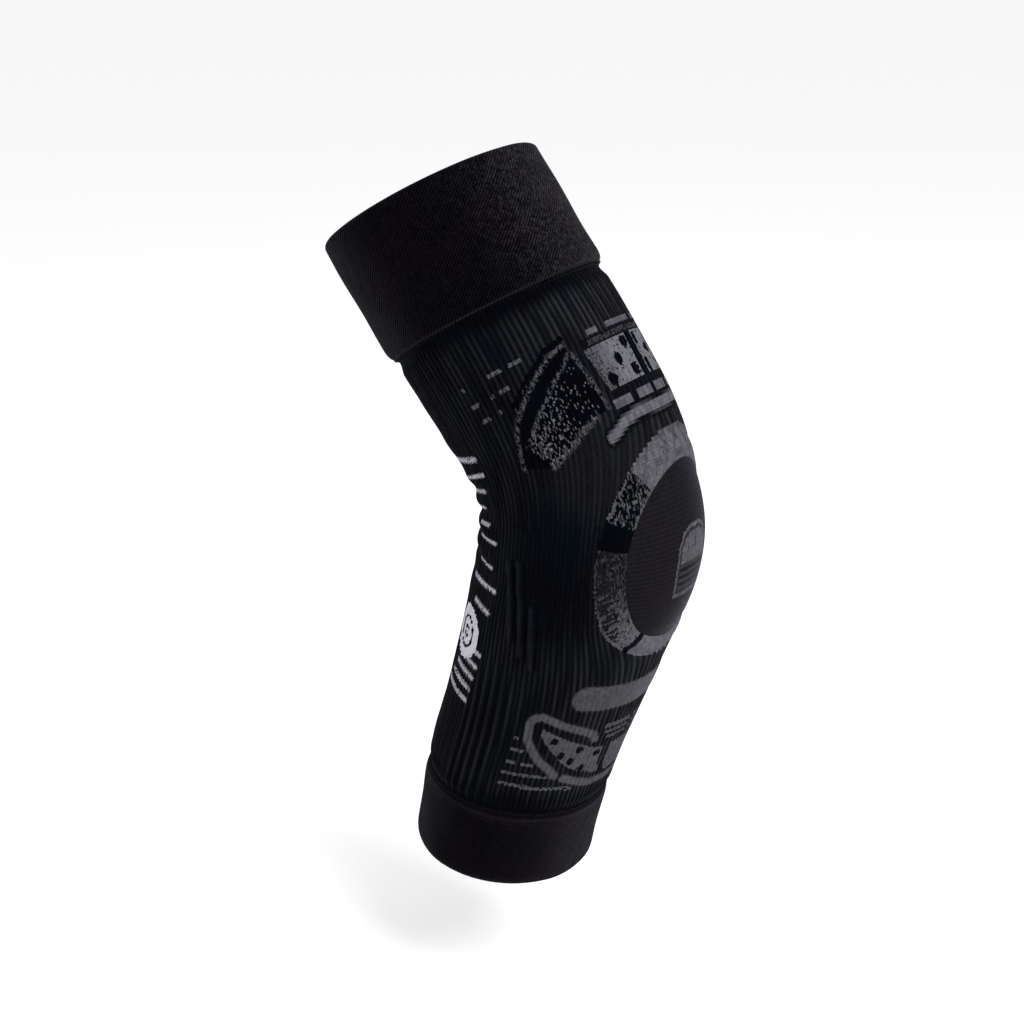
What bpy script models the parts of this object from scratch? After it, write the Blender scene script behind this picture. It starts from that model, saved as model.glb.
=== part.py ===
"""Elbow pad: a knitted elbow sleeve with a ring-shaped gel pad and a foam dome over the elbow point.

The sleeve runs up the arm along +Z, the elbow point faces +X, and the bend lies in the XZ plane.
The origin is on the arm's own line at the elbow. Lengths are in metres.
"""
import math

import bmesh
import bpy
from mathutils import Vector

# Line of the arm inside the sleeve
BEND_RADIUS = 0.0753
UPPER_LEAN = math.radians(35.5)
FOREARM_LEAN = math.radians(13.6)

# Stations along the arm's line, towards the shoulder
TOP_EDGE = 0.134
UPPER_SEAM = 0.0805
UPPER_KNIT_END = 0.060
KNIT_SPLIT = -0.008
LOWER_KNIT_END = -0.0575
LOWER_SEAM = -0.1275
BOTTOM_EDGE = -0.159

# Sections of the sleeve: station, radius, offset towards the elbow point
SECTIONS = (
    (-0.160, 0.0369, -0.0058),
    (-0.120, 0.0376, -0.0066),
    (-0.090, 0.0383, -0.0040),
    (-0.060, 0.0402, -0.0017),
    (-0.035, 0.0421, 0.0000),
    (-0.012, 0.0435, 0.0018),
    (0.008, 0.0423, 0.0027),
    (0.030, 0.0425, 0.0030),
    (0.060, 0.0436, 0.0029),
    (0.084, 0.0437, 0.0020),
    (0.136, 0.0437, 0.0018),
)
UPPER_CUFF_FLARE = 0.0021
LOWER_CUFF_FLARE = 0.0002
FOREARM_SIDE_WIDENING = 0.08
UPPER_EDGE_SKEW = -0.0042
LOWER_EDGE_SKEW = 0.0036

# Layers
GAP = 0.0003
KNIT_THICKNESS = 0.0020
CUFF_WALL = 0.0012
ELASTIC_THICKNESS = 0.0008
GRIP_HEIGHT = 0.0008
GRIP_WIDTH = 0.0034
GEL_THICKNESS = 0.0030
FOAM_THICKNESS = 0.0036
LINING_THICKNESS = 0.0009
SEAM_WIDTH = 0.0016

# Pad over the elbow point: half sizes round the arm (degrees) and along it
PAD_CENTRE = -0.0145
RING_HALF_TURN = 60.0
RING_HALF_HEIGHT = 0.0325
RING_INNER = 0.733
LINING_REACH = 1.06
RING_TOP_FROM = 53.0
RING_SPECKLE_TO = 153.0
RING_BLOCK_TO = 167.0
RING_BOTTOM_FROM = 238.0

# Bar below the ring
BAR_CENTRE = -0.0650
BAR_HALF_HEIGHT = 0.0058
BAR_HALF_TURN = 51.0

# Mesh steps
ROUND_STEPS = 60
FLAT_RADIUS = 0.045
FULL_TURN = math.tau * FLAT_RADIUS

BLACK_KNIT = (0.012, 0.011, 0.015, 1.0)
CUFF_KNIT = (0.017, 0.015, 0.021, 1.0)
GREY_KNIT = (0.13, 0.125, 0.14, 1.0)
LIGHT_KNIT = (0.30, 0.29, 0.31, 1.0)


def clear_scene():
    for item in list(bpy.data.objects):
        bpy.data.objects.remove(item, do_unlink=True)


def ease(value):
    value = min(max(value, 0.0), 1.0)
    return value * value * (3.0 - 2.0 * value)


def section_at(station):
    """Radius and offset at a station, with a cubic through the listed sections."""
    last = len(SECTIONS) - 1
    station = min(max(station, SECTIONS[0][0]), SECTIONS[last][0])
    index = 0
    while index < last - 1 and SECTIONS[index + 1][0] < station:
        index += 1
    low = SECTIONS[index]
    high = SECTIONS[index + 1]
    before = SECTIONS[max(index - 1, 0)]
    after = SECTIONS[min(index + 2, last)]
    span = high[0] - low[0]
    part = (station - low[0]) / span
    result = []
    for column in (1, 2):
        slope_low = (high[column] - before[column]) / (high[0] - before[0])
        slope_high = (after[column] - low[column]) / (after[0] - low[0])
        result.append(
            (2 * part ** 3 - 3 * part ** 2 + 1) * low[column]
            + (part ** 3 - 2 * part ** 2 + part) * span * slope_low
            + (3 * part ** 2 - 2 * part ** 3) * high[column]
            + (part ** 3 - part ** 2) * span * slope_high
        )
    return result


def arm_line(station):
    """Point on the arm's line and the lean of the line there."""
    half = BEND_RADIUS * (UPPER_LEAN + FOREARM_LEAN) / 2
    middle = (UPPER_LEAN - FOREARM_LEAN) / 2
    inside = min(max(station, -half), half)
    lean = middle + inside / BEND_RADIUS
    beyond = station - inside
    x = BEND_RADIUS * (math.cos(lean) - math.cos(middle)) - beyond * math.sin(lean)
    z = BEND_RADIUS * (math.sin(lean) - math.sin(middle)) + beyond * math.cos(lean)
    return x, z, lean


def sleeve_point(turn, station, depth):
    """Place on the sleeve: turn from the elbow point (radians), station and height above the surface."""
    skew = UPPER_EDGE_SKEW * ease((station - 0.020) / 0.060)
    skew += LOWER_EDGE_SKEW * ease((-station - 0.065) / 0.060)
    station = station + skew * math.cos(turn)
    radius, offset = section_at(station)
    widening = FOREARM_SIDE_WIDENING * ease((0.060 - station) / 0.120)
    x, z, lean = arm_line(station)
    out = offset + (radius + depth) * math.cos(turn)
    side = (radius * (1.0 + widening) + depth) * math.sin(turn)
    return Vector((x + out * math.cos(lean), side, z + out * math.sin(lean)))


def make_material(name, colour, roughness, metallic=0.0):
    material = bpy.data.materials.new(name)
    material.use_nodes = True
    shader = material.node_tree.nodes["Principled BSDF"]
    shader.inputs["Base Color"].default_value = colour
    shader.inputs["Roughness"].default_value = roughness
    shader.inputs["Metallic"].default_value = metallic
    return material


def wrap(bm):
    """Lay a flat piece (x round the arm, y along it, z outwards) onto the sleeve."""
    for vert in bm.verts:
        vert.co = sleeve_point(vert.co.x / FLAT_RADIUS, vert.co.y, vert.co.z)


def finish(name, bm, colour, roughness):
    """Turn a bmesh into a named, smooth object with its own material."""
    bmesh.ops.remove_doubles(bm, verts=bm.verts, dist=0.00001)
    bmesh.ops.dissolve_degenerate(bm, dist=0.00001, edges=bm.edges)
    loose = [edge for edge in bm.edges if not edge.link_faces]
    bmesh.ops.delete(bm, geom=loose, context="EDGES")
    bmesh.ops.recalc_face_normals(bm, faces=bm.faces)
    if bm.calc_volume(signed=True) < 0:
        bmesh.ops.reverse_faces(bm, faces=bm.faces)
    for face in bm.faces:
        face.smooth = True
    mesh = bpy.data.meshes.new(name)
    bm.to_mesh(mesh)
    bm.free()
    mesh.materials.append(make_material(name, colour, roughness))
    item = bpy.data.objects.new(name, mesh)
    bpy.context.collection.objects.link(item)
    return item


def band(name, outline, colour, roughness):
    """Closed ring round the arm: an outline of (station, height) points carried once round."""
    bm = bmesh.new()
    verts = [bm.verts.new((-FULL_TURN / 2, station, height)) for station, height in outline]
    edges = []
    for index, vert in enumerate(verts):
        edges.append(bm.edges.new((vert, verts[(index + 1) % len(verts)])))
    bmesh.ops.spin(
        bm,
        geom=edges,
        cent=(0.0, 0.0, 0.0),
        axis=(0.0, 0.0, 1.0),
        dvec=(FULL_TURN / ROUND_STEPS, 0.0, 0.0),
        angle=0.0,
        steps=ROUND_STEPS,
        use_duplicate=False,
    )
    wrap(bm)
    return finish(name, bm, colour, roughness)


def slab(bm, low_x, high_x, low_y, high_y, x_steps, y_steps, height, thickness):
    """Flat closed slab, its upper face at the given height."""
    made = bmesh.ops.create_grid(bm, x_segments=x_steps, y_segments=y_steps, size=0.5)
    for vert in made["verts"]:
        vert.co.x = low_x + (vert.co.x + 0.5) * (high_x - low_x)
        vert.co.y = low_y + (vert.co.y + 0.5) * (high_y - low_y)
        vert.co.z = height
    grown = bmesh.ops.extrude_face_region(bm, geom=bm.faces[:], use_keep_orig=True)
    for vert in grown["geom"]:
        if isinstance(vert, bmesh.types.BMVert):
            vert.co.z -= thickness
    bmesh.ops.recalc_face_normals(bm, faces=bm.faces)


def flat_object(name, bm):
    mesh = bpy.data.meshes.new(name)
    bm.to_mesh(mesh)
    bm.free()
    item = bpy.data.objects.new(name, mesh)
    bpy.context.collection.objects.link(item)
    return item


def cut(name, bm, cutter):
    """Subtract the cutter from a flat piece and return the result as a bmesh."""
    item = flat_object(name + "_blank", bm)
    tool = item.modifiers.new("cut", "BOOLEAN")
    tool.operation = "DIFFERENCE"
    tool.solver = "EXACT"
    tool.object = cutter
    cutter.hide_render = True
    cutter.display_type = "WIRE"
    result = bmesh.new()
    depsgraph = bpy.context.evaluated_depsgraph_get()
    result.from_mesh(item.evaluated_get(depsgraph).to_mesh())
    bpy.data.objects.remove(item, do_unlink=True)
    return result


def tube_with_window(name, low_y, high_y, y_steps, cutter, colour, roughness):
    """Knit tube between two stations, with the cutter's shape left open for a set-in piece."""
    bm = bmesh.new()
    slab(bm, -FULL_TURN / 2, FULL_TURN / 2, low_y, high_y, ROUND_STEPS, y_steps, 0.0, KNIT_THICKNESS)
    bm = cut(name, bm, cutter)
    limit = FULL_TURN / 2 - 0.0001
    ends = [face for face in bm.faces if all(abs(vert.co.x) > limit for vert in face.verts)]
    bmesh.ops.delete(bm, geom=ends, context="FACES_ONLY")
    bmesh.ops.triangulate(bm, faces=[face for face in bm.faces if len(face.verts) > 4])
    wrap(bm)
    return finish(name, bm, colour, roughness)


def ellipse_prism(name, scale):
    """Cutter for the pad: the ring's outline at the given scale."""
    bm = bmesh.new()
    bmesh.ops.create_cone(bm, cap_ends=True, segments=64, radius1=1.0, radius2=1.0, depth=0.02)
    for vert in bm.verts:
        vert.co.x *= math.radians(RING_HALF_TURN) * FLAT_RADIUS * scale + GAP
        vert.co.y = PAD_CENTRE + vert.co.y * (RING_HALF_HEIGHT * scale + GAP)
    return flat_object(name, bm)


def pad_turned(name, outline, colour, roughness, from_angle=0.0, to_angle=360.0, steps=64):
    """Piece of the pad: an outline of (fraction of the ring, height) turned about the pad's centre."""
    bm = bmesh.new()
    start = math.radians(from_angle)
    verts = []
    for fraction, height in outline:
        verts.append(bm.verts.new((fraction * math.cos(start), fraction * math.sin(start), height)))
    whole = to_angle - from_angle >= 360.0
    loop = [bm.edges.new((verts[i], verts[(i + 1) % len(verts)])) for i in range(len(verts))]
    bmesh.ops.spin(
        bm,
        geom=loop,
        cent=(0.0, 0.0, 0.0),
        axis=(0.0, 0.0, 1.0),
        dvec=(0.0, 0.0, 0.0),
        angle=math.radians(to_angle - from_angle),
        steps=steps,
        use_duplicate=False,
    )
    bmesh.ops.remove_doubles(bm, verts=bm.verts, dist=0.00001)
    if not whole:
        bmesh.ops.holes_fill(bm, edges=bm.edges, sides=0)
    for vert in bm.verts:
        vert.co.x *= math.radians(RING_HALF_TURN) * FLAT_RADIUS
        vert.co.y = PAD_CENTRE + vert.co.y * RING_HALF_HEIGHT
    wrap(bm)
    return finish(name, bm, colour, roughness)


def stations(low, high, count):
    return [low + (high - low) * index / count for index in range(count + 1)]


def tube_outline(low, high, count):
    """Outline of a plain knit wall between two stations."""
    outer = [(station, 0.0) for station in stations(low, high, count)]
    inner = [(station, -KNIT_THICKNESS) for station in stations(high, low, count)]
    return outer + inner


def cuff_outline(seam, edge, flare, rows, roll):
    """Outline of a folded cuff: outer wall, rounded fold at the edge, inner wall."""
    away = 1.0 if edge > seam else -1.0
    pocket = CUFF_WALL * 2 + ELASTIC_THICKNESS + GAP * 2
    turn_start = edge - away * roll
    outer = [(station, flare) for station in stations(seam, turn_start, rows)]
    fold = []
    for index in range(1, 4):
        angle = math.pi * index / 4
        fold.append((turn_start + away * roll * math.sin(angle),
                     flare - pocket / 2 + pocket / 2 * math.cos(angle)))
    inner = [(station, flare - pocket) for station in stations(turn_start, seam, rows)]
    back = [(station, flare - pocket + CUFF_WALL) for station in stations(seam, turn_start, rows)]
    front = [(station, flare - CUFF_WALL) for station in stations(turn_start, seam, rows)]
    return outer + fold + inner + back + front


clear_scene()

# Upper cuff: a wide welt folded over at the top edge, with its elastic inside the fold
UPPER_POCKET = CUFF_WALL * 2 + ELASTIC_THICKNESS + GAP * 2
cuff_from = UPPER_SEAM + SEAM_WIDTH + GAP
band(
    "upper_cuff",
    cuff_outline(cuff_from, TOP_EDGE, UPPER_CUFF_FLARE, 3, 0.0016),
    CUFF_KNIT,
    0.85,
)
elastic_top = UPPER_CUFF_FLARE - CUFF_WALL - GAP
elastic_edges = (0.096, 0.128)
elastic_outer = [(station, elastic_top) for station in stations(elastic_edges[0], elastic_edges[1], 3)]
elastic_inner = [
    (station, elastic_top - ELASTIC_THICKNESS)
    for station in stations(elastic_edges[1], elastic_edges[0], 3)
]
band("upper_elastic", elastic_outer + elastic_inner, (0.55, 0.54, 0.52, 1.0), 0.75)

# Silicone beads on the skin side of the upper cuff
grip_top = UPPER_CUFF_FLARE - UPPER_POCKET - GAP
for number, station in enumerate((0.101, 0.1115, 0.122), start=1):
    half = GRIP_WIDTH / 2
    bead = (
        (station - half, grip_top),
        (station + half, grip_top),
        (station + half * 0.55, grip_top - GRIP_HEIGHT),
        (station - half * 0.55, grip_top - GRIP_HEIGHT),
    )
    band("upper_grip_%d" % number, bead, (0.06, 0.06, 0.065, 1.0), 0.35)

# Linking seam that joins the upper cuff to the ribbed sleeve
seam_outline = (
    (UPPER_SEAM, -0.0004),
    (UPPER_SEAM + SEAM_WIDTH, -0.0004),
    (UPPER_SEAM + SEAM_WIDTH, -KNIT_THICKNESS),
    (UPPER_SEAM, -KNIT_THICKNESS),
)
band("upper_linking_seam", seam_outline, (0.008, 0.008, 0.010, 1.0), 0.9)

# Ribbed sleeve above the elbow
band(
    "upper_sleeve",
    tube_outline(UPPER_KNIT_END + GAP, UPPER_SEAM - GAP, 2),
    BLACK_KNIT,
    0.9,
)

# Stretch knit round the elbow, in two halves, with a window for the pad's facing pieces
pad_window = ellipse_prism("pad_window", 1.0)
tube_with_window(
    "elbow_knit_upper",
    KNIT_SPLIT + GAP / 2,
    UPPER_KNIT_END,
    8,
    pad_window,
    BLACK_KNIT,
    0.9,
)
tube_with_window(
    "elbow_knit_lower",
    LOWER_KNIT_END,
    KNIT_SPLIT - GAP / 2,
    6,
    pad_window,
    BLACK_KNIT,
    0.9,
)
bpy.data.objects.remove(pad_window, do_unlink=True)

# Dome facing: smooth knit over the elbow point, raised a little in the middle
dome_edge = RING_INNER - 0.010
dome_outline = (
    (0.0, 0.0010),
    (0.20, 0.0010),
    (0.40, 0.0008),
    (0.56, 0.0004),
    (dome_edge, 0.0),
    (dome_edge, -KNIT_THICKNESS),
    (0.56, -KNIT_THICKNESS),
    (0.40, -KNIT_THICKNESS),
    (0.20, -KNIT_THICKNESS),
    (0.0, -KNIT_THICKNESS),
)
pad_turned("dome_facing", dome_outline, (0.020, 0.018, 0.024, 1.0), 0.8, steps=48)

# Ring facing: separate areas of knit set end to end round the dome
ring_outline = (
    (RING_INNER, 0.0),
    (0.82, 0.0005),
    (0.91, 0.0005),
    (1.0, 0.0),
    (1.0, -KNIT_THICKNESS),
    (0.91, -KNIT_THICKNESS),
    (0.82, -KNIT_THICKNESS),
    (RING_INNER, -KNIT_THICKNESS),
)
SPLIT = 0.5
ring_parts = (
    ("ring_top", RING_TOP_FROM, 180.0 - RING_TOP_FROM, LIGHT_KNIT, 14),
    ("ring_speckle_left", 180.0 - RING_TOP_FROM, RING_SPECKLE_TO, GREY_KNIT, 5),
    ("ring_block_left", RING_SPECKLE_TO, RING_BLOCK_TO, BLACK_KNIT, 3),
    ("ring_rib_left", RING_BLOCK_TO, RING_BOTTOM_FROM, GREY_KNIT, 13),
    ("ring_bottom", RING_BOTTOM_FROM, 540.0 - RING_BOTTOM_FROM, LIGHT_KNIT, 12),
    ("ring_rib_right", 540.0 - RING_BOTTOM_FROM, 540.0 - RING_BLOCK_TO, GREY_KNIT, 13),
    ("ring_block_right", 540.0 - RING_BLOCK_TO, 540.0 - RING_SPECKLE_TO, BLACK_KNIT, 3),
    ("ring_speckle_right", 540.0 - RING_SPECKLE_TO, 360.0 + RING_TOP_FROM, GREY_KNIT, 5),
)
for name, low, high, colour, steps in ring_parts:
    pad_turned(name, ring_outline, colour, 0.85, low + SPLIT / 2, high - SPLIT / 2, steps)

# Gel ring behind the ring facing
gel_top = -KNIT_THICKNESS - GAP
gel_outline = (
    (0.755, gel_top - 0.0008),
    (0.790, gel_top),
    (0.940, gel_top),
    (0.975, gel_top - 0.0008),
    (0.975, gel_top - GEL_THICKNESS + 0.0008),
    (0.940, gel_top - GEL_THICKNESS),
    (0.790, gel_top - GEL_THICKNESS),
    (0.755, gel_top - GEL_THICKNESS + 0.0008),
)
pad_turned("gel_ring", gel_outline, (0.05, 0.07, 0.09, 1.0), 0.3)

# Foam pad behind the dome
foam_edge = 0.70
foam_outline = (
    (0.0, gel_top),
    (0.30, gel_top),
    (0.62, gel_top),
    (foam_edge, gel_top - 0.0010),
    (foam_edge, gel_top - FOAM_THICKNESS + 0.0010),
    (0.62, gel_top - FOAM_THICKNESS),
    (0.30, gel_top - FOAM_THICKNESS),
    (0.0, gel_top - FOAM_THICKNESS),
)
pad_turned("foam_dome", foam_outline, (0.10, 0.10, 0.11, 1.0), 0.95, steps=48)

# Lining: a thin knit dish that closes the pad pocket on the skin side
lining_top = gel_top - FOAM_THICKNESS - GAP
lining_outline = (
    (0.0, lining_top),
    (0.35, lining_top),
    (0.70, lining_top),
    (0.985, lining_top),
    (1.02, gel_top - 0.0004),
    (LINING_REACH, gel_top),
    (LINING_REACH, gel_top - LINING_THICKNESS),
    (1.04, gel_top - LINING_THICKNESS - 0.0006),
    (1.005, lining_top - LINING_THICKNESS),
    (0.70, lining_top - LINING_THICKNESS),
    (0.35, lining_top - LINING_THICKNESS),
    (0.0, lining_top - LINING_THICKNESS),
)
pad_turned("pad_lining", lining_outline, (0.03, 0.03, 0.035, 1.0), 0.95)

# Forearm sleeve: ribbed tube with a window for the bar
bar_half_width = math.radians(BAR_HALF_TURN) * FLAT_RADIUS


def bar_shape(grow, low_z, high_z):
    """Pill-shaped slab: a grid whose ends are drawn in to half rounds."""
    bm = bmesh.new()
    half_height = BAR_HALF_HEIGHT + grow
    reach = bar_half_width + grow
    slab(bm, -1.0, 1.0, -1.0, 1.0, 24, 4, high_z, high_z - low_z)
    straight = reach - half_height
    for vert in bm.verts:
        across = vert.co.y
        end_reach = straight + half_height * math.sqrt(max(0.0, 1.0 - 0.92 * across * across))
        vert.co.x = vert.co.x * end_reach
        vert.co.y = BAR_CENTRE + across * half_height
    return bm


bar_window = flat_object("bar_window", bar_shape(GAP, -0.01, 0.01))
tube_with_window(
    "forearm_sleeve",
    LOWER_SEAM + SEAM_WIDTH + GAP,
    LOWER_KNIT_END - GAP,
    6,
    bar_window,
    BLACK_KNIT,
    0.9,
)
bpy.data.objects.remove(bar_window, do_unlink=True)
bar = bar_shape(0.0, -KNIT_THICKNESS, 0.0)
wrap(bar)
finish("bar_facing", bar, LIGHT_KNIT, 0.85)

# Linking seam that joins the forearm sleeve to the lower cuff
seam_outline = (
    (LOWER_SEAM, -0.0004),
    (LOWER_SEAM + SEAM_WIDTH, -0.0004),
    (LOWER_SEAM + SEAM_WIDTH, -KNIT_THICKNESS),
    (LOWER_SEAM, -KNIT_THICKNESS),
)
band("lower_linking_seam", seam_outline, (0.008, 0.008, 0.010, 1.0), 0.9)

# Lower cuff: a narrow welt rolled over at the bottom edge, with its elastic inside
band(
    "lower_cuff",
    cuff_outline(LOWER_SEAM - GAP, BOTTOM_EDGE, LOWER_CUFF_FLARE, 2, 0.0040),
    CUFF_KNIT,
    0.85,
)
elastic_top = LOWER_CUFF_FLARE - CUFF_WALL - GAP
elastic_edges = (-0.152, -0.132)
elastic_outer = [(station, elastic_top) for station in stations(elastic_edges[0], elastic_edges[1], 2)]
elastic_inner = [
    (station, elastic_top - ELASTIC_THICKNESS)
    for station in stations(elastic_edges[1], elastic_edges[0], 2)
]
band("lower_elastic", elastic_outer + elastic_inner, (0.55, 0.54, 0.52, 1.0), 0.75)

# Silicone beads on the skin side of the lower cuff
grip_top = LOWER_CUFF_FLARE - UPPER_POCKET - GAP
for number, station in enumerate((-0.147, -0.138), start=1):
    half = GRIP_WIDTH / 2
    bead = (
        (station - half, grip_top),
        (station + half, grip_top),
        (station + half * 0.55, grip_top - GRIP_HEIGHT),
        (station - half * 0.55, grip_top - GRIP_HEIGHT),
    )
    band("lower_grip_%d" % number, bead, (0.06, 0.06, 0.065, 1.0), 0.35)
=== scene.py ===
"""Elbow pad: a knitted elbow sleeve with a padded ring and dome over the elbow point."""
import math

import bmesh
import bpy
import numpy as np
from mathutils import Matrix, Vector


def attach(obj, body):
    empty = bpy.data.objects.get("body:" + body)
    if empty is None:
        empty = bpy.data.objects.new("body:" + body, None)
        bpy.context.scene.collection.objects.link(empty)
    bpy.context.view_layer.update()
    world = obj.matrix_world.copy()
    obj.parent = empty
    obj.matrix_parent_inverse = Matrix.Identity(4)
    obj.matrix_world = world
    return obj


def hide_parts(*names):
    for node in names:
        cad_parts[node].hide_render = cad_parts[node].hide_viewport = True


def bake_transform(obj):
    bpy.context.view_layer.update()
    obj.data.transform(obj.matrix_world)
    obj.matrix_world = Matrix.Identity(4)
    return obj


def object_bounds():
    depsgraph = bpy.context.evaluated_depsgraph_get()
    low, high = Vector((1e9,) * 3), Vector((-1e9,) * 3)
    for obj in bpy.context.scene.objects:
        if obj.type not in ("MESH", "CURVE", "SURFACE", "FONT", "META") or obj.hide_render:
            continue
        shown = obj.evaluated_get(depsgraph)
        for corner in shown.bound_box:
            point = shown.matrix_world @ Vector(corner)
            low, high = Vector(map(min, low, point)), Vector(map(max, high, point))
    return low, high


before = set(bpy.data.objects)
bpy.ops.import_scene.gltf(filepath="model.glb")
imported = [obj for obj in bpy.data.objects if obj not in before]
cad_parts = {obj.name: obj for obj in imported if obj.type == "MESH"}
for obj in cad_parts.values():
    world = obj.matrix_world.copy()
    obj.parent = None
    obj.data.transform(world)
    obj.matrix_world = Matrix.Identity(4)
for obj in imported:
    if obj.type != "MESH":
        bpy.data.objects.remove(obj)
cad_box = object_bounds()

# ----------------------------------------
# Studio: a pale floor well below the sleeve, even white light all round and two soft panels.
# The camera stands a little above the sleeve, beside it, and turned partly towards the elbow point.
VIEW_TURN = math.radians(30.0)
VIEW_RISE = math.radians(18.1)
VIEW_DISTANCE = 0.6455
AIM_RIGHT = -0.0285
AIM_UP = -0.0047
LENS = 57.8
FLOOR_HALF = 60.0
FLOOR_GAP = 0.060
PANEL_SIZE = 0.7
SLEEVE_MIDDLE = (0.0, 0.0, 0.0)


def set_down(name, data):
    """New object, put in the scene."""
    item = bpy.data.objects.new(name, data)
    bpy.context.collection.objects.link(item)
    return item


def new_material(name):
    """New material, with its node tree and its shader."""
    material = bpy.data.materials.new(name)
    material.use_nodes = True
    return material, material.node_tree, material.node_tree.nodes["Principled BSDF"]


view_right = Vector((math.cos(VIEW_TURN), math.sin(VIEW_TURN), 0.0))
view_back = Vector((
    math.sin(VIEW_TURN) * math.cos(VIEW_RISE),
    -math.cos(VIEW_TURN) * math.cos(VIEW_RISE),
    math.sin(VIEW_RISE),
))
view_up = view_back.cross(view_right)
camera_data = bpy.data.cameras.new("studio_camera")
camera_data.lens = LENS
camera_data.sensor_width = 36.0
camera_data.clip_end = 300.0
camera = set_down("studio_camera", camera_data)
camera.matrix_world = (
    Matrix.Translation(view_right * AIM_RIGHT + view_up * AIM_UP + view_back * VIEW_DISTANCE)
    @ Matrix((view_right, view_up, view_back)).transposed().to_4x4()
)
bpy.context.scene.camera = camera
bpy.context.scene.view_settings.view_transform = "Standard"

world = bpy.data.worlds.new("studio_white")
world.use_nodes = True
world.node_tree.nodes["Background"].inputs["Color"].default_value = (1.0, 1.0, 1.0, 1.0)
world.node_tree.nodes["Background"].inputs["Strength"].default_value = 1.0
bpy.context.scene.world = world


def soft_panel(name, place, power):
    """Square soft light that faces the middle of the sleeve."""
    light = bpy.data.lights.new(name, "AREA")
    light.shape = "SQUARE"
    light.size = PANEL_SIZE
    light.energy = power
    item = set_down(name, light)
    item.location = place
    item.rotation_euler = (Vector(SLEEVE_MIDDLE) - Vector(place)).to_track_quat("-Z", "Y").to_euler()


soft_panel("right_panel", (0.9, -0.30, 1.0), 19.0)
soft_panel("left_panel", (-1.2, -0.1, 0.45), 2.0)

floor_material, _, floor_shader = new_material("floor_paper")
floor_shader.inputs["Base Color"].default_value = (0.93, 0.93, 0.93, 1.0)
floor_shader.inputs["Roughness"].default_value = 0.9
floor_shader.inputs["Specular IOR Level"].default_value = 0.0
bm = bmesh.new()
bmesh.ops.create_grid(bm, x_segments=2, y_segments=2, size=FLOOR_HALF)
bmesh.ops.translate(bm, verts=bm.verts, vec=(0.0, 0.0, cad_box[0].z - FLOOR_GAP))
floor_mesh = bpy.data.meshes.new("floor")
bm.to_mesh(floor_mesh)
bm.free()
floor_mesh.materials.append(floor_material)
set_down("floor", floor_mesh)

# ----------------------------------------
# Ribbed sleeve: one seamless tube of nylon and elastane rib knit from cuff to cuff, with the
# pattern knitted in from a light second yarn. It is made in two lengths that meet unseen under
# the pad.
BEND_RADIUS = 0.0753
UPPER_LEAN = math.radians(35.5)
FOREARM_LEAN = math.radians(13.6)
UPPER_SEAM = 0.0805
LOWER_SEAM = -0.1275
SEAM_WIDTH = 0.0016
KNIT_SPLIT = -0.008
KNIT_THICKNESS = 0.0020
SECTIONS = np.array((
    (-0.160, 0.0369, -0.0058),
    (-0.120, 0.0376, -0.0066),
    (-0.090, 0.0383, -0.0040),
    (-0.060, 0.0402, -0.0017),
    (-0.035, 0.0421, 0.0000),
    (-0.012, 0.0435, 0.0018),
    (0.008, 0.0423, 0.0027),
    (0.030, 0.0425, 0.0030),
    (0.060, 0.0436, 0.0029),
    (0.084, 0.0437, 0.0020),
    (0.136, 0.0437, 0.0018),
))
SIDE_WIDENING = 0.08
UPPER_EDGE_SKEW = -0.0042
LOWER_EDGE_SKEW = 0.0036
LOWER_FOLD_SKEW = 0.0004
FLAT_RADIUS = 0.045
FULL_TURN = math.tau * FLAT_RADIUS
CHART_LOW = -0.170
CHART_HEIGHT = 0.310
STITCH_WIDTH = 0.6
STITCH_HEIGHT = 0.8
TWILL_WIDE = 1.65
TWILL_HIGH = 1.45
MERGE_DISTANCE = 0.000008
INNER_STEP = 0.012
SHARP_TURN = math.radians(62.0)
MM_PER_DEGREE = 0.785
RIB_PITCH = 3.0
RIB_HEIGHT = 0.00027
FOLD_WIDTH = 3.2
SEAM_DIP = 0.0009
PAD_DIP = 0.0017
PAD_MIDDLE = -14.5
PAD_HALF_TURN = 60.0
PAD_HALF_HEIGHT = 32.5
RING_INNER = 0.733
PATTERN_FROM = 0.15


def ease(value):
    value = np.clip(value, 0.0, 1.0)
    return value * value * (3.0 - 2.0 * value)


def section_at(station):
    """Radius and offset at each station, on a cubic through the listed sections."""
    rows = SECTIONS
    last = len(rows) - 1
    station = np.clip(station, rows[0, 0], rows[last, 0])
    low = np.clip(np.searchsorted(rows[:, 0], station, side="left") - 1, 0, last - 1)
    high = low + 1
    before = np.maximum(low - 1, 0)
    after = np.minimum(low + 2, last)
    span = rows[high, 0] - rows[low, 0]
    part = (station - rows[low, 0]) / span
    results = []
    for column in (1, 2):
        slope_low = (rows[high, column] - rows[before, column]) / (rows[high, 0] - rows[before, 0])
        slope_high = (rows[after, column] - rows[low, column]) / (rows[after, 0] - rows[low, 0])
        results.append(
            (2 * part ** 3 - 3 * part ** 2 + 1) * rows[low, column]
            + (part ** 3 - 2 * part ** 2 + part) * span * slope_low
            + (3 * part ** 2 - 2 * part ** 3) * rows[high, column]
            + (part ** 3 - part ** 2) * span * slope_high
        )
    return results


def arm_line(station):
    """Points on the arm's own line and the lean of the line there."""
    half = BEND_RADIUS * (UPPER_LEAN + FOREARM_LEAN) / 2
    middle = (UPPER_LEAN - FOREARM_LEAN) / 2
    inside = np.clip(station, -half, half)
    lean = middle + inside / BEND_RADIUS
    beyond = station - inside
    x = BEND_RADIUS * (np.cos(lean) - math.cos(middle)) - beyond * np.sin(lean)
    z = BEND_RADIUS * (np.sin(lean) - math.sin(middle)) + beyond * np.cos(lean)
    return x, z, lean


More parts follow.
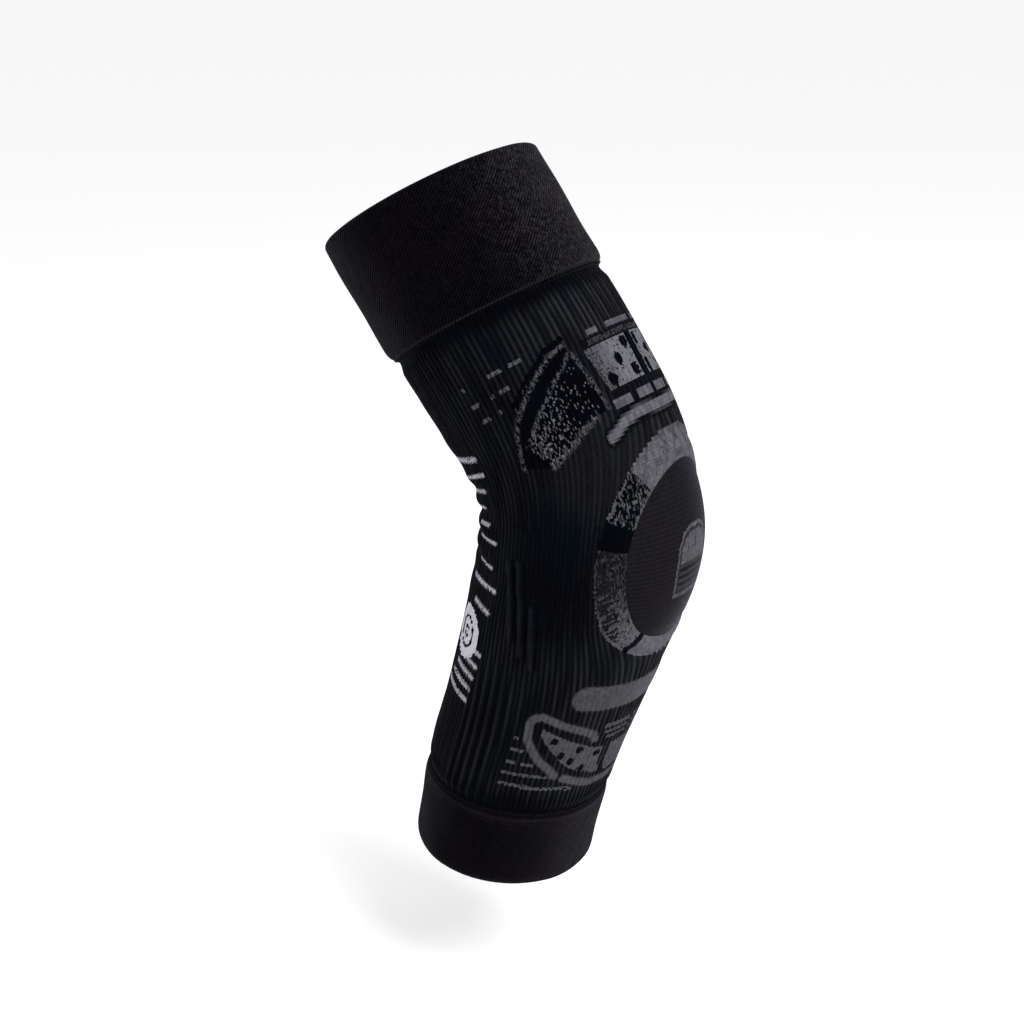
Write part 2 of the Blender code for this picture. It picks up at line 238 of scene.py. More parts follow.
def sleeve_points(turn, station, height):
    """Places on the sleeve from the turn round it (radians), the station along it and the height."""
    skew = UPPER_EDGE_SKEW * ease((station - 0.020) / 0.060)
    skew = skew + LOWER_EDGE_SKEW * ease((-station - 0.065) / 0.060)
    skew = skew - LOWER_FOLD_SKEW * ease((-station - 0.135) / 0.022)
    station = station + skew * np.cos(turn)
    radius, offset = section_at(station)
    widening = SIDE_WIDENING * ease((0.060 - station) / 0.120)
    x, z, lean = arm_line(station)
    out = offset + (radius + height) * np.cos(turn)
    side = (radius * (1.0 + widening) + height) * np.sin(turn)
    return np.stack((x + out * np.cos(lean), side, z + out * np.sin(lean)), axis=1)


def stitch_noise(phi, t, seed, wide=0.6, high=0.8):
    """A fixed random value for each stitch, from its place in the knit chart."""
    cell = np.floor(phi / wide) * 12.9898 + np.floor(t / high) * 78.233 + seed * 37.719
    value = np.sin(cell) * 43758.5453
    return value - np.floor(value)


def rolling(phi, t, seed):
    """Slow smooth unevenness of the fabric, from -1 to 1."""
    a = np.radians(phi)
    return (
        np.sin(3 * a + t * 0.045 + seed) * 0.4
        + np.sin(5 * a - t * 0.083 + seed * 1.7) * 0.3
        + np.sin(2 * a + t * 0.150 + seed * 0.6) * 0.3
    )


def near(phi, t, points):
    """Distance in mm from each stitch to a line through points given as degrees and mm."""
    x = phi * MM_PER_DEGREE
    best = np.full(phi.shape, 1e9)
    for (p0, t0), (p1, t1) in zip(points[:-1], points[1:]):
        ax, dx, dt = p0 * MM_PER_DEGREE, (p1 - p0) * MM_PER_DEGREE, t1 - t0
        along = np.clip(((x - ax) * dx + (t - t0) * dt) / (dx * dx + dt * dt), 0.0, 1.0)
        best = np.minimum(best, np.hypot(x - ax - along * dx, t - t0 - along * dt))
    return best


def within(phi, t, points):
    """Whether each stitch lies inside a closed outline."""
    result = np.zeros(phi.shape, dtype=bool)
    for (p0, t0), (p1, t1) in zip(points, points[1:] + points[:1]):
        if t0 != t1:
            crosses = (t0 > t) != (t1 > t)
            result ^= crosses & (phi < (p1 - p0) * (t - t0) / (t1 - t0) + p0)
    return result


def spot(phi, t, centre, half_turn, half_height):
    return ((phi - centre[0]) / half_turn) ** 2 + ((t - centre[1]) / half_height) ** 2 < 1.0


def edged(distance, reach):
    """1 inside a reach in mm and 0 beyond it, with one stitch of half cover at the edge."""
    return np.clip((reach - distance) / 0.9 + 0.5, 0.0, 1.0)


def laid(value, share, shade):
    return value + (shade - value) * share


# Outlines in the knit chart, as degrees round from the elbow point and millimetres along the arm
ARCH_OUTER = [(-87, 22), (-86, 26), (-84, 31), (-81, 35), (-77.5, 38.5), (-70, 43), (-62, 47.5),
              (-55, 51), (-48, 54), (-41, 55.5)]
ARCH_INNER = [(-80, 28), (-73, 32), (-67, 36), (-60, 39.5), (-56, 42.5), (-50, 45.5), (-44, 48.5),
              (-40, 51.5)]
ARCH_BASE = [(-72, 19), (-65, 21), (-58, 23), (-50, 25.5), (-42, 27)]
ARCH_END = [(-38.5, 51), (-37, 44), (-36, 38), (-35, 31), (-34.5, 28)]
LEAF_OUTER = [(-28, -87), (-30, -84), (-40, -81), (-50, -79), (-60, -76.5), (-64, -75.7), (-68, -77),
              (-70, -80), (-68.5, -88), (-64, -93), (-58, -98), (-50, -102.5), (-45, -106)]
LEAF_FIELD = [(-62, -81.5), (-55, -83.5), (-45, -86.5), (-35, -89), (-28, -91.5), (-18, -92.5),
              (-19.5, -99), (-15, -107), (-20, -107), (-25, -105.5), (-33, -103.5), (-40, -101),
              (-45, -98), (-52, -93), (-58, -88.5), (-61.5, -85)]
LEAF_STEM = [(-39, -107.5), (-30, -110), (-20, -112.5), (0, -113.5)]
BADGE_CURVE = [(-15, -17), (-14, -11), (-10.5, -7.5), (-5, -6)]

# Light floats: the row's place along the arm, its slope, and where it starts and ends
FLOATS = (
    (57.7, 0.0, ((-80, -72), (-68.5, -61), (-97, -95))),
    (50.3, 0.0, ((-79, -73), (-84, -82), (-97, -92))),
    (44.0, 0.0, ((-96, -90), (-84, -82))),
    (-88.8, 0.0, ((-76.5, -73),)),
    (-94.5, 0.0, ((-76.5, -68),)),
    (-101.0, 0.0, ((-76, -70), (-67.5, -60))),
    (-106.5, 0.0, ((-77, -48),)),
    (-112.0, 0.03, ((-77, -31),)),
)

# Rungs up the crook: both ends' places along the arm, then their degrees from the crook's middle
LADDER = (
    (34.5, 39.5, 64, 34), (27.0, 31.5, 64, 30), (19.0, 22.0, 58, 28), (10.5, 11.5, 52, 30),
    (1.0, 1.5, 55, 44), (-7.5, -7.5, 62, 40), (-21.5, -21.5, 60, 46), (-32.0, -34.5, 67, 42),
    (-42.5, -42.5, 66, 50), (-62.0, -62.0, 67, 62), (-68.0, -68.0, 66, 54),
    (-73.5, -73.5, 65, 44), (-79.0, -79.0, 65, 40), (-84.5, -84.5, 65, 34),
)

# Folds pressed into the side of the sleeve, each with its height in metres
SIDE_FOLDS = (
    ([(-106, -13), (-103, -24), (-99.5, -35), (-95, -46)], 0.0012),
    ([(-99, -13), (-97.5, -24), (-93.5, -32), (-90, -43), (-87, -51)], 0.0012),
    ([(-88, -30), (-85, -39), (-80, -55)], 0.0008),
)


def rib_lines(phi, t):
    """Rib number at a place in the chart: straight ribs that part round the pad and close in behind it."""
    across = np.abs(phi) / PAD_HALF_TURN
    along = (t - PAD_MIDDLE) / PAD_HALF_HEIGHT
    reach = np.maximum(across ** 2 + along ** 2, 0.55)
    return phi * (1.0 - 0.42 / reach) / RIB_PITCH


def pad_polar(p, t):
    """Share of the way from the middle of the pad to its edge, and the turn about that middle."""
    across = p / PAD_HALF_TURN
    along = (t - PAD_MIDDLE) / PAD_HALF_HEIGHT
    return np.hypot(across, along), np.degrees(np.arctan2(along, across)) % 360.0


def patch(p, t, centre, half_turn, half_height, reach):
    """1 inside an oval patch of fabric, easing to 0 round it."""
    return ease(reach - np.hypot((p - centre[0]) / half_turn, (t - centre[1]) / half_height))


def over_pad(p, t):
    return patch(p, t, (-45.0, 14.0), 36.0, 13.0, 1.4)


def rib_calm(p, t):
    """1 where the ribs are pulled flat beside and over the pad, 0 where they stand full."""
    return np.maximum(patch(p, t, (-82.0, -14.0), 30.0, 34.0, 1.35), 0.8 * over_pad(p, t))


def wide_ribs(p, t):
    """1 behind the forearm, where the ribs gather two by two."""
    return ease((-p - 70.0) / 22.0) * ease((p + 122.0) / 14.0) * ease((-t - 52.0) / 22.0)


def rib_ground_and_painted_light(phi, t, p, fleck):
    """Plain rib knit: light yarn shows on the crests, less where they lie flat and near the seams. Painted
    light lightens it towards the elbow point and over the top of the pad, painted shade darkens a patch
    beside the pad and the groove beside each side fold, and a painted highlight lies along each fold's ridge.
    """
    ribs = rib_lines(phi, t)
    crest = 0.5 + 0.5 * np.cos(ribs * math.tau)
    drift = stitch_noise(np.floor(ribs + 0.5), t, 8.0, 1.0, 1000.0) * 20.0
    uneven = 0.75 + 0.55 * np.sin(t / 8.0 + drift)
    # Painted light: the knit is made lighter towards the elbow point, where the right panel's light falls.
    painted_light_gain = 0.8 + 1.0 * ease((p + 80.0) / 55.0)
    value = 0.001 + (0.010 * fleck + 0.044 * crest ** 1.5 * uneven * (1.0 - 0.75 * rib_calm(p, t))) * painted_light_gain
    # Painted light: the knit is made lighter again over the top of the pad.
    value = value + 0.014 * over_pad(p, t)
    # Painted shade: a patch on the side beside the pad is darkened.
    value = value * (1.0 - 0.5 * patch(p, t, (-82.0, -20.0), 30.0, 28.0, 1.35))
    wide = wide_ribs(p, t)
    broad = 0.5 + 0.5 * np.cos(ribs * math.pi)
    value = value * (1.0 - 0.95 * wide * (1.0 - broad)) + 0.024 * wide * broad ** 2 * (0.4 + 0.6 * fleck)
    # Painted shade in the groove beside each side fold, and a painted highlight along the fold's ridge.
    for fold, _ in SIDE_FOLDS:
        value = value * (1.0 - 0.85 * np.exp(-(near(p - FOLD_WIDTH, t, fold) / 1.3) ** 2))
        value = value + 0.030 * np.exp(-(near(p, t, fold) / 0.8) ** 2)
    return value * (1.0 - 0.95 * ease((-t - 114.0) / 9.0)) * (1.0 - 0.95 * ease((t - 71.0) / 7.0))


def add_floats(value, p, t, fleck, tone):
    """Short light floats beside the arch and beside the leaf."""
    for level, slope, spans in FLOATS:
        for low, high in spans:
            row = np.abs(t - level + slope * (p + 77)) < 0.85
            value = np.where(row & (p > low) & (p < high) & (fleck > 0.15), 0.34 + 0.2 * tone, value)
    return value


def add_arch(value, p, t, fleck, tone):
    """Arch above the pad: dark field, dotted outlines and loose speckles."""
    field = within(p, t, ARCH_OUTER + ARCH_END + ARCH_BASE[::-1])
    value = np.where(field, 0.0, value)
    band = near(p, t, [(-76, 43), (-62, 50.5), (-50, 56), (-40, 58)]) < 1.3
    value = np.where(band, 0.0, value)
    for line, reach, gaps in (
        (ARCH_OUTER, 0.75, 0.33),
        (ARCH_INNER, 0.65, 0.38),
        (ARCH_BASE, 0.75, 0.30),
        (ARCH_END, 0.65, 0.30),
    ):
        value = laid(value, edged(near(p, t, line), reach) * (fleck > gaps), 0.20 + 0.32 * tone)
    inner = within(p, t, ARCH_INNER + ARCH_END + ARCH_BASE[::-1])
    density = 0.93 - 0.23 * ease((-p - 46) / 20)
    value = np.where(inner & (fleck > density), 0.22 + 0.5 * tone, value)
    outside = (near(p, t, ARCH_OUTER) < 2.6) & ~field & (p > -78)
    return np.where(outside & (fleck > 0.93), 0.2, value)


def add_blocks(value, p, t, fleck, soft):
    """Light blocks with dark spots over the middle, bars above and below them, and an arc below."""
    block = within(p, t, [(-32.0, 49.5), (0.5, 49.5), (0.5, 31.5), (-29.5, 31.5)])
    shade = 0.42 + 0.42 * ease((p + 30) / 16) + 0.10 * (soft - 0.5)
    value = np.where(block, np.where(fleck > 0.10 + 0.25 * ease((-p - 20) / 10), shade, 0.12), value)
    value = np.where(block & (near(p, t, [(-1.4, 49.5), (-1.4, 31.5)]) < 1.1), 0.0, value)
    for centre in ((-15.5, 41.0), (-24.5, 34.5), (-7.0, 34.5), (-6.0, 46.5)):
        value = np.where(spot(p, t, centre, 2.7, 2.9), 0.0, value)
    value = np.where((p > -36) & (t > 26) & (t < 54) & ~block & (p > -30 - (t - 31.5) * 0.1), 0.01, value)
    top_bar = (np.abs(t - 55.5) < 1.2) & (((p > -26) & (p < -18.5)) | (p > -12))
    value = np.where(top_bar, 0.42 + 0.25 * soft, value)
    value = np.where((np.abs(t - 52.0) < 1.4) & (p > -28) & (fleck > 0.3), 0.20, value)
    bricks = (np.abs(t - 28.0) < 1.3) & (((p > -31) & (p < -19.5)) | ((p > -15) & (p < -1.5)))
    value = np.where(bricks, 0.38 + 0.30 * soft, value)
    arc = near(p, t, [(-40, 20.5), (-35, 21.5), (-30, 23), (-20, 24), (-10, 23.7), (0, 23.5)])
    value = laid(value, edged(arc, 2.6), 0.004)
    return laid(value, edged(arc, 1.3), 0.50 + 0.25 * soft)


def add_ring(value, p, t, fleck, tone, soft):
    """Ring round the dome: mottled top, speckles, black block, crosswise ribs and light bottom."""
    ring, angle = pad_polar(p, t)
    on_ring = (ring > RING_INNER) & (ring < 1.0)
    mottled = 0.46 + 0.30 * (soft - 0.4) + 0.26 * (fleck - 0.5)
    value = np.where(on_ring & (angle < 127), mottled, value)
    speckled = on_ring & (angle >= 127) & (angle < 153)
    value = np.where(speckled, np.where(fleck > 0.66, 0.50 * tone + 0.10, 0.0), value)
    edge = (np.abs(ring - 0.985) < 0.016) | (np.abs(ring - 0.752) < 0.018)
    value = np.where(speckled & edge & (fleck > 0.3), 0.45, value)
    value = np.where(on_ring & (angle >= 153) & (angle < 167), 0.0, value)
    ribbed = on_ring & (angle >= 167) & (angle < 238)
    level = 0.10 + 0.46 * ease((angle - 178) / 55)
    wobble = 1.5 * np.sin(ring * 31.0) + 1.3 * np.sin(angle * 0.9)
    strokes = np.sin(np.radians(angle) * 84.0 + wobble) > -0.25
    outer = (ring > 0.79 + 0.09 * tone + 0.12 * ease((angle - 205) / 28)) & (ring < 0.975)
    worn = np.where(fleck > 0.62 + 0.3 * ease((angle - 195) / 30), 0.03, level + 0.25 * (tone - 0.5))
    value = np.where(ribbed, np.where(strokes & outer, 0.02 + 0.05 * tone, worn), value)
    bottom = 0.62 + 0.25 * (soft - 0.5) + 0.1 * (fleck - 0.5)
    value = np.where(on_ring & (angle >= 238), bottom, value)
    parting = near(p, t, [(-25.5, -33.5), (-35.5, -44.0)]) < 1.5
    return np.where(on_ring & parting, 0.0, value)


def add_dome(value, p, t, fleck, soft):
    """Dome of fine crosswise rows, with a plain arch-shaped badge that has a striped panel."""
    ring, _ = pad_polar(p, t)
    rows = np.sin(t * 5.2 - p * 0.06 + 3.0 * ring)
    plain_dome = 0.028 + 0.009 * rows + 0.010 * fleck + 0.006 * (soft - 0.5)
    value = np.where(ring <= RING_INNER, plain_dome, value)
    badge = within(p, t, [(-14, -24)] + BADGE_CURVE + [(1, -6), (1, -24)])
    rim = near(p, t, [(-1, -24), (-14, -24)] + BADGE_CURVE + [(0, -6)])
    stripes = np.where(np.floor((t + 40) / 0.95) % 2 == 0, 0.02, 0.16)
    panel = (t < -15.2) & (t > -22.3) & (rim > 1.3)
    shade = np.where(panel, stripes, 0.42 + 0.45 * (fleck - 0.5))
    return np.where(badge, np.where((rim > 1.0) & (rim < 1.9), 0.08, shade), value)


def add_bar(value, p, t, fleck, soft):
    """Light bar with round ends below the ring."""
    round_end = np.hypot((p + 44.0) * MM_PER_DEGREE, t + 64.5)
    away = np.where(p > -44, np.abs(t + 64.5), round_end)
    shade = 0.37 + 0.12 * (soft - 0.5) + 0.10 * (fleck - 0.5) + 0.12 * ease((p + 28) / 25)
    return laid(value, edged(away, 6.1), shade)


def add_leaf(value, p, t, fleck, soft):
    """Leaf shape on the forearm: thick outline, spotted field, stem and short bars."""
    leaf = edged(near(p, t, LEAF_OUTER), 1.8)
    leaf = np.maximum(leaf, within(p, t, LEAF_FIELD))
    leaf = np.maximum(leaf, edged(near(p, t, LEAF_STEM), 2.0))
    leaf = np.maximum(leaf, within(p, t, [(-12, -92), (0.5, -92), (0.5, -109), (-9, -109), (-13, -100)]))
    value = laid(value, leaf, 0.44 + 0.16 * (fleck - 0.5) + 0.14 * (soft - 0.5))
    for centre in ((-53, -87.3), (-46, -94.8), (-35.5, -91.8), (-30, -102.3), (-22, -95.5), (-39, -98.0)):
        value = np.where(spot(p, t, centre, 2.5, 1.8), 0.01, value)
    for level, low in ((-80.6, -24), (-84.0, -23), (-87.2, -20)):
        value = np.where((np.abs(t - level) < 0.95) & (p > low) & (p < -2) & (fleck > 0.1), 0.42, value)
    return value


def add_ladder(value, p, t, fleck, tone):
    """Ladder of bright floats up the crook, with a round of plain rings in it."""
    c = 180.0 + p
    for t_out, t_in, c_out, c_in in LADDER:
        line = near(c, t, [(c_out, t_out), (c_in, t_in)])
        value = laid(value, edged(line, 1.0) * (fleck > 0.06), 0.38 + 0.35 * tone)
    away = np.hypot((c - 48.0) * MM_PER_DEGREE, t + 58.5)
    rings = ((away < 11.6) & (away > 7.0)) | ((away < 5.7) & (away > 2.9)) | (away < 1.5)
    return np.where(rings, 0.88 + 0.25 * (fleck - 0.5), value)


def yarn_and_painted_light(phi, t):
    """How much of the light yarn shows in each stitch, with painted light, painted shade and painted
    highlights added in the rib ground. The chart is the same on both sides.
    """
    p = -np.abs(phi)
    fleck = stitch_noise(p, t, 1.0)
    tone = stitch_noise(p, t, 2.0)
    soft = stitch_noise(p, t, 3.0, 2.4, 2.0)
    value = rib_ground_and_painted_light(phi, t, p, fleck)
    value = add_floats(value, p, t, fleck, tone)
    value = add_arch(value, p, t, fleck, tone)
    value = add_blocks(value, p, t, fleck, soft)
    value = add_ring(value, p, t, fleck, tone, soft)
    value = add_dome(value, p, t, fleck, soft)
    value = add_bar(value, p, t, fleck, soft)
    value = add_leaf(value, p, t, fleck, soft)
    crest = 0.5 + 0.5 * np.cos(rib_lines(phi, t) * math.tau)
    value = np.where(value > PATTERN_FROM, value * (0.207 + 0.033 * crest), value * 0.275)
    return np.clip(add_ladder(value, p, t, fleck, tone), 0.0, 1.0)


def rib_relief(phi, t):
    """Height of the rib knit over its ground, in metres: ribs, folds, crook waves and sunk edges."""
    p = -np.abs(phi)
    wide = wide_ribs(p, t)
    under_pad = ease((0.99 - pad_polar(p, t)[0]) / 0.05)
    ribs = np.cos(rib_lines(phi, t) * math.tau) * (1.0 - 0.6 * wide)
    ribs = ribs + 1.6 * wide * np.cos(rib_lines(phi, t) * math.pi)
    height = RIB_HEIGHT * ribs * (1.0 - under_pad) * (1.0 - 0.5 * rib_calm(p, t))
    height = height + 0.00020 * rolling(phi, t, 0.4)
    for fold, lift in SIDE_FOLDS:
        height = height + lift * np.exp(-(near(p, t, fold) / 1.25) ** 2)
        height = height - 0.6 * lift * np.exp(-(near(p - FOLD_WIDTH, t, fold) / 1.3) ** 2)
    c = 180.0 + p
    crook = ease((74.0 - c) / 34.0)
    waves = np.sin((t + 0.10 * c) * math.tau / 15.0) * np.exp(-((t - 6.0) / 34.0) ** 2)
    height = height + 0.00075 * crook * waves
    seam = ease((t - 74.5) / 5.0) + ease((-t - 120.5) / 5.0)
    return height * (1.0 - 0.75 * seam) - SEAM_DIP * seam - PAD_DIP * under_pad


def carry_round(profile, steps):
    """Closed outline of (station, height) points carried once round the arm, still flat."""
    rows = len(profile)
    bm = bmesh.new()
    bmesh.ops.create_grid(bm, x_segments=steps, y_segments=rows, size=1.0)
    for vert in bm.verts:
        station, height = profile[int(round((vert.co.y + 1.0) / 2.0 * rows)) % rows]
        vert.co = (vert.co.x * FULL_TURN / 2, station, height)
    return bm


def places_of(mesh):
    """Every vertex's place, one row each."""
    places = np.zeros(len(mesh.vertices) * 3)
    mesh.vertices.foreach_get("co", places)
    return places.reshape(-1, 3)


def put_places(mesh, places):
    mesh.vertices.foreach_set("co", places.astype(np.float32).ravel())


def lay_on_sleeve(name, bm, relief=None, outer_above=-1.0, chart=None):
    """Turn a flat bmesh into a piece on the sleeve, with its knit chart as UV map and its light yarn, which
    on the sleeve and cuffs also carries painted light and shade.
    """
    mesh = bpy.data.meshes.new(name)
    bm.to_mesh(mesh)
    bm.free()
    flat = places_of(mesh)
    corner = np.zeros(len(mesh.loops), dtype=np.int32)
    mesh.loops.foreach_get("vertex_index", corner)
    uv = np.stack((flat[corner, 0] / FULL_TURN + 0.5, (flat[corner, 1] - CHART_LOW) / CHART_HEIGHT), axis=1)
    mesh.uv_layers.new(name="knit_chart").data.foreach_set("uv", uv.astype(np.float32).ravel())
    starts = np.zeros(len(mesh.polygons), dtype=np.int32)
    mesh.polygons.foreach_get("loop_start", starts)
    totals = np.zeros(len(mesh.polygons), dtype=np.int32)
    mesh.polygons.foreach_get("loop_total", totals)
    middle = np.add.reduceat(flat[corner], starts, axis=0) / totals[:, None]
    if chart is not None:
        shade = chart(np.degrees(middle[:, 0] / FLAT_RADIUS), middle[:, 1] * 1000.0)
        shade = np.where(middle[:, 2] > outer_above, shade, 0.02)
        mesh.attributes.new("yarn_and_painted_light", "FLOAT", "FACE").data.foreach_set("value", shade.astype(np.float32))
    height = flat[:, 2].copy()
    if relief is not None:
        lift = relief(np.degrees(flat[:, 0] / FLAT_RADIUS), flat[:, 1] * 1000.0)
        height = height + np.where(flat[:, 2] > outer_above, lift, 0.0)
    put_places(mesh, sleeve_points(flat[:, 0] / FLAT_RADIUS, flat[:, 1], height))
    bm = bmesh.new()
    bm.from_mesh(mesh)
    bmesh.ops.remove_doubles(bm, verts=bm.verts, dist=MERGE_DISTANCE)
    loose = [edge for edge in bm.edges if not edge.link_faces]
    bmesh.ops.delete(bm, geom=loose, context="EDGES")
    bmesh.ops.recalc_face_normals(bm, faces=bm.faces)
    for face in bm.faces:
        face.smooth = True
    for edge in bm.edges:
        if len(edge.link_faces) == 2 and edge.calc_face_angle() > SHARP_TURN:
            edge.smooth = False
    bm.to_mesh(mesh)
    bm.free()
    return set_down(name, mesh)


def maths(tree, kind, first, second=None):
    """One step of arithmetic in a material, on numbers or on other nodes' outputs."""
    node = tree.nodes.new("ShaderNodeMath")
    node.operation = kind
    for socket, value in zip(node.inputs, (first, second)):
        if value is None:
            continue
        if isinstance(value, (int, float)):
            socket.default_value = value
        else:
            tree.links.new(value, socket)
    return node.outputs[0]


def chart_position(tree):
    """Distances round and along the knit in millimetres, from the piece's knit chart."""
    chart = tree.nodes.new("ShaderNodeUVMap")
    chart.uv_map = "knit_chart"
    parts = tree.nodes.new("ShaderNodeSeparateXYZ")
    tree.links.new(chart.outputs["UV"], parts.inputs[0])
    across = maths(tree, "MULTIPLY", parts.outputs[0], FULL_TURN * 1000.0)
    along = maths(tree, "MULTIPLY", parts.outputs[1], CHART_HEIGHT * 1000.0)
    joined = tree.nodes.new("ShaderNodeCombineXYZ")
    tree.links.new(across, joined.inputs[0])
    tree.links.new(along, joined.inputs[1])
    return joined.outputs[0], across, along


def noise_on(tree, vector, scale, detail=2.0, stretch=(1.0, 1.0, 1.0)):
    mapping = tree.nodes.new("ShaderNodeMapping")
    mapping.inputs["Scale"].default_value = stretch
    tree.links.new(vector, mapping.inputs["Vector"])
    node = tree.nodes.new("ShaderNodeTexNoise")
    node.inputs["Scale"].default_value = scale
    node.inputs["Detail"].default_value = detail
    tree.links.new(mapping.outputs[0], node.inputs["Vector"])
    return node.outputs["Fac"]


def blend_colour(tree, share, first, second, mode="MIX"):
    node = tree.nodes.new("ShaderNodeMix")
    node.data_type = "RGBA"
    node.blend_type = mode
    for socket, value in ((node.inputs[0], share), (node.inputs[6], first), (node.inputs[7], second)):
        if isinstance(value, (tuple, int, float)):
            socket.default_value = value
        else:
            tree.links.new(value, socket)
    return node.outputs[2]


def knit_loops(tree, across, along, wale, course):
    """Height of plain knit loops: V-shaped stitches in columns."""
    column = maths(tree, "DIVIDE", across, wale)
    column = maths(tree, "ABSOLUTE", maths(tree, "SUBTRACT", maths(tree, "FRACT", column), 0.5))
    lifted = maths(tree, "ADD", maths(tree, "DIVIDE", along, course), maths(tree, "MULTIPLY", column, 1.4))
    loop = maths(tree, "SINE", maths(tree, "MULTIPLY", lifted, math.tau))
    trough = maths(tree, "MULTIPLY", column, -1.2)
    return maths(tree, "ADD", maths(tree, "MULTIPLY", loop, 0.4), trough)


def bump_up(tree, shader, height, strength, distance):
    """Small relief in the surface, from a height in the material."""
    bumps = tree.nodes.new("ShaderNodeBump")
    bumps.inputs["Strength"].default_value = strength
    bumps.inputs["Distance"].default_value = distance
    tree.links.new(height, bumps.inputs["Height"])
    tree.links.new(bumps.outputs["Normal"], shader.inputs["Normal"])


def knit_material(name, dark, light, cast, wale, course, twill, shine, bump):
    """Knitted yarn: dark ground with a colour cast in patches, light pattern yarn, loops and lint."""
    material, tree, shader = new_material(name)
    place, across, along = chart_position(tree)
    # The attribute holds the light yarn's share, with painted light, painted shade and painted highlights
    # mixed into it on the sleeve and cuffs.
    yarn = tree.nodes.new("ShaderNodeAttribute")
    yarn.attribute_name = "yarn_and_painted_light"
    melange = noise_on(tree, place, 0.9, 3.0, (1.0, 0.35, 1.0))
    cloudy = noise_on(tree, place, 0.045, 2.0)
    lint = noise_on(tree, place, 2.6, 2.0)
    deep = tuple(channel * 0.2 for channel in dark[:3]) + (1.0,)
    pale = tuple(channel * 2.2 for channel in dark[:3]) + (1.0,)
    ground = blend_colour(tree, melange, deep, pale)
    patches = maths(tree, "MULTIPLY", maths(tree, "SUBTRACT", cloudy, 0.44), 5.0)
    patches = maths(tree, "MINIMUM", maths(tree, "MAXIMUM", patches, 0.0), 0.8)
    ground = blend_colour(tree, patches, ground, cast)
    bright = blend_colour(tree, melange, tuple(c * 0.75 for c in light[:3]) + (1.0,),
                          tuple(min(c * 1.2, 1.0) for c in light[:3]) + (1.0,))
    colour = blend_colour(tree, yarn.outputs["Fac"], ground, bright)
    loops = knit_loops(tree, across, along, wale, course)
    shade = maths(tree, "ADD", maths(tree, "MULTIPLY", loops, 0.45), 1.0)
    relief = maths(tree, "ADD", loops, maths(tree, "MULTIPLY", lint, 0.8))
    if twill > 0.0:
        columns = maths(tree, "DIVIDE", across, TWILL_WIDE)
        slant = maths(tree, "SUBTRACT", columns, maths(tree, "DIVIDE", along, TWILL_HIGH))
        wavy = maths(tree, "SINE", maths(tree, "MULTIPLY", slant, math.tau))
        shade = maths(tree, "ADD", shade, maths(tree, "MULTIPLY", wavy, twill))
        relief = maths(tree, "ADD", relief, wavy)
    shade_colour = tree.nodes.new("ShaderNodeCombineColor")
    for channel in range(3):
        tree.links.new(shade, shade_colour.inputs[channel])
    colour = blend_colour(tree, 1.0, colour, shade_colour.outputs[0], "MULTIPLY")
    tree.links.new(colour, shader.inputs["Base Color"])
    bump_up(tree, shader, relief, bump, 0.00025)
    rough = maths(tree, "ADD", maths(tree, "MULTIPLY", lint, 0.2), 0.72)
    tree.links.new(rough, shader.inputs["Roughness"])
    shader.inputs["Specular IOR Level"].default_value = 0.008
    shader.inputs["Sheen Weight"].default_value = shine
    shader.inputs["Sheen Roughness"].default_value = 0.30
    shader.inputs["Sheen Tint"].default_value = (0.86, 0.84, 1.0, 1.0)
    return material


def along_steps(low, high, step):
    count = max(1, int(round(abs(high - low) / step)))
    return [low + (high - low) * index / count for index in range(count + 1)]


def wall_profile(low, high):
    outer = [(station, 0.0) for station in along_steps(low, high, STITCH_HEIGHT / 1000.0)]
    inner = [(station, -KNIT_THICKNESS) for station in along_steps(high, low, INNER_STEP)]
    return outer + inner


sleeve_material = knit_material(
    "rib_knit", (0.0008, 0.0008, 0.0018, 1.0), (0.60, 0.59, 0.67, 1.0), (0.0004, 0.0019, 0.0030, 1.0),
    wale=0.94, course=0.8, twill=0.0, shine=0.044, bump=0.5,
)
stitches_round = int(round(360.0 / STITCH_WIDTH))
sleeve_upper = lay_on_sleeve(
    "ribbed_sleeve_upper",
    carry_round(wall_profile(KNIT_SPLIT, UPPER_SEAM - 0.0002), stitches_round),
    relief=rib_relief, outer_above=-0.0005, chart=yarn_and_painted_light,
)
sleeve_lower = lay_on_sleeve(
    "ribbed_sleeve_lower",
    carry_round(wall_profile(LOWER_SEAM + SEAM_WIDTH + 0.0002, KNIT_SPLIT), stitches_round),
    relief=rib_relief, outer_above=-0.0005, chart=yarn_and_painted_light,
)
for item in (sleeve_upper, sleeve_lower):
    item.data.materials.append(sleeve_material)
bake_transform(sleeve_upper)
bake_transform(sleeve_lower)
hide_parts("upper_sleeve", "elbow_knit_upper")
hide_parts("elbow_knit_lower", "forearm_sleeve")

# ----------------------------------------
# Cuffs: wide plain-knit welts at both ends, folded double over an elastic and linked to the sleeve.
# The upper one stands a little proud of its seam, and the lower one rolls in at its edge.
TOP_EDGE = 0.134
BOTTOM_EDGE = -0.1620
UPPER_CUFF_FLARE = 0.0021
LOWER_CUFF_FLARE = 0.0002
CUFF_WALL = 0.0012
ELASTIC_THICKNESS = 0.0008
POCKET = CUFF_WALL * 2 + ELASTIC_THICKNESS + 0.0006
CUFF_STEPS = 480
UPPER_ROLL = 0.0016
LOWER_ROLL = 0.0054


